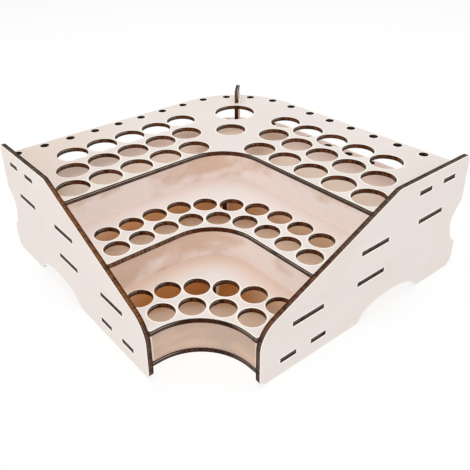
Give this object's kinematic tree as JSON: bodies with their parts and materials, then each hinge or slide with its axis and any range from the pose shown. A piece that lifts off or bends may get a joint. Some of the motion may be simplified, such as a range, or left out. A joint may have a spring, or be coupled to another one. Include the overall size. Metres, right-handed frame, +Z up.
{
  "type": "corner paint rack",
  "caption": "Stepped corner organizer of laser-cut plywood: three tiers of round bottle holes between two sloping side panels, brush holes along the back edge.",
  "frame": {"origin": "centre of the footprint's bounding box, on the table", "axes": "+Z up, the hollow front looks along -Y, the back corner points along +Y, +X to the viewer's right"},
  "size_m": [0.5162, 0.426, 0.1395],
  "materials": {
    "side_panels": "bare laser-cut plywood, burnt edges",
    "shelf_plates": "bare laser-cut plywood, burnt edges",
    "curved_walls": "bare thin bent plywood",
    "rib": "bare laser-cut plywood, burnt edges"
  },
  "bodies": {
    "root": {"left_side_panel": "side_panels", "right_side_panel": "side_panels", "top_plate": "shelf_plates", "upper_middle_plate": "shelf_plates", "lower_middle_plate": "shelf_plates", "base_plate": "shelf_plates", "upper_curved_wall": "curved_walls", "middle_curved_wall": "curved_walls", "lower_curved_wall": "curved_walls", "centre_rib": "rib"}
  },
  "joints": []
}
